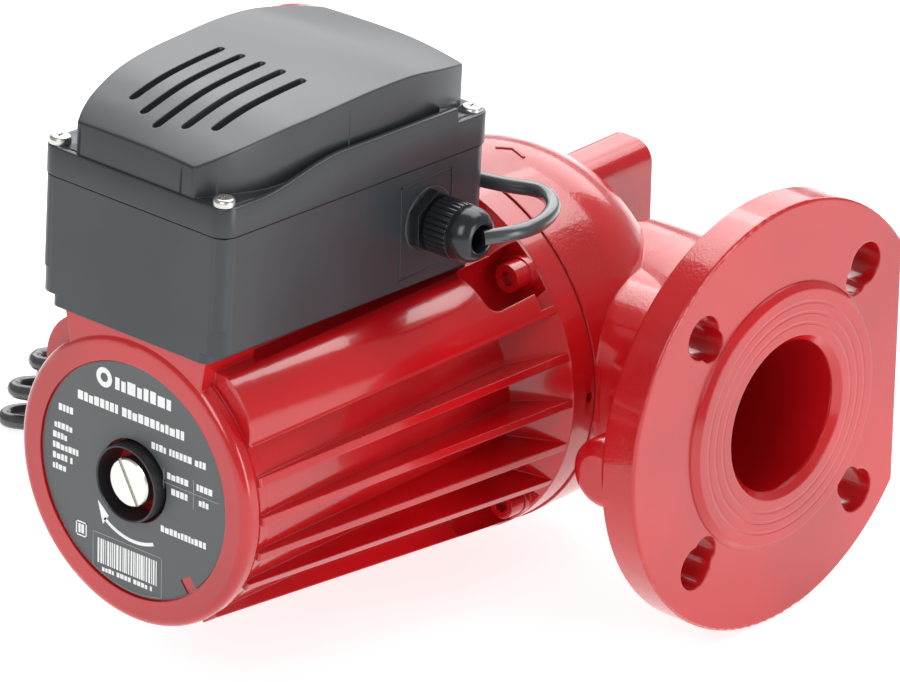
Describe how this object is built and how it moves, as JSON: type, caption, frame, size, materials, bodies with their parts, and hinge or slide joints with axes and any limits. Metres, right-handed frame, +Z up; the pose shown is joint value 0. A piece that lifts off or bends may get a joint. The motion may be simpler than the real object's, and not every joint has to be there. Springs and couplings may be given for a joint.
{
  "type": "circulator pump",
  "caption": "In-line wet-rotor circulator pump: flanged cast casing, finned motor housing with vent plug, terminal box with crowned cover, gland and supply lead.",
  "frame": {"origin": "on the pipe axis, in the face of the outlet flange in which its bolt holes open (3.2 mm behind the raised gasket face)", "axes": "+X out of the outlet flange along the pipe; the shaft lies along Y with the motor towards -Y; +Z up through the terminal box"},
  "size_m": [0.4172, 0.3084, 0.25],
  "materials": {
    "cast_red": "gloss paint over cast iron",
    "housing_red": "gloss paint over die-cast aluminium",
    "bolt_red": "painted over steel",
    "bronze": "machined",
    "stainless": "drawn stainless",
    "core_steel": "laminated",
    "winding": "varnished copper",
    "carbon": "carbon and ceramic bearing",
    "gasket_rubber": "matte",
    "label_grey": "printed film",
    "box_grey": "satin moulded",
    "collar_black": "satin",
    "nickel": "nickel plated",
    "zinc": "zinc plated",
    "impeller_plastic": "glass-filled",
    "gland_nylon": "satin nylon",
    "lead_black": "satin jacket",
    "terminal_grey": "moulded",
    "capacitor_white": "moulded can",
    "earth_brass": "turned"
  },
  "bodies": {
    "root": {"pump_casing": "cast_red", "wear_ring": "bronze", "casing_gasket": "gasket_rubber", "motor_housing": "housing_red", "housing_bolts": "bolt_red", "stator_core": "core_steel", "winding_front": "winding", "winding_rear": "winding", "rotor_can": "stainless", "bearing_plate": "stainless", "front_bearing": "carbon", "rear_bearing": "carbon", "rating_label": "label_grey", "plug_collar": "collar_black", "terminal_box_base": "box_grey", "box_fixing_screws": "zinc", "box_gasket": "gasket_rubber", "terminal_block": "terminal_grey", "terminal_screws": "earth_brass", "earth_screw": "earth_brass", "capacitor": "capacitor_white", "capacitor_clip": "zinc", "gland_body": "gland_nylon", "gland_locknut": "gland_nylon", "gland_seal": "gasket_rubber", "gland_nut": "gland_nylon", "power_lead": "lead_black", "lead_coil": "lead_black", "lead_tail": "lead_black", "mains_plug": "lead_black", "plug_pins": "nickel"},
    "rotor": {"shaft": "stainless", "rotor_core": "core_steel", "thrust_disc": "carbon", "impeller": "impeller_plastic", "impeller_cover": "impeller_plastic", "impeller_nut": "stainless"},
    "plug_seal": {"vent_plug_seal": "gasket_rubber"},
    "plug": {"vent_plug": "nickel"},
    "cover": {"terminal_box_cover": "box_grey", "cover_screws": "nickel"}
  },
  "joints": [
    {"name": "rotor_spin", "type": "hinge", "parent": "root", "child": "rotor", "pos_m": [-0.1468, -0.12, 0], "axis": [0, 1, 0], "continuous": true},
    {"name": "plug_out", "type": "slide", "parent": "root", "child": "plug_seal", "axis": [0, -1, 0], "range_m": [0, 0.009]},
    {"name": "plug_turn", "type": "hinge", "parent": "plug_seal", "child": "plug", "pos_m": [-0.1468, -0.2317, 0], "axis": [0, -1, 0], "range_deg": [0, 2250]},
    {"name": "cover_lift", "type": "slide", "parent": "root", "child": "cover", "axis": [0, 0.0384, 0.9993], "range_m": [0, 0.1]}
  ],
  "couplings": [
    {"joint": "plug_turn", "follows": "plug_out", "rad_per_m": 4188.8}
  ]
}
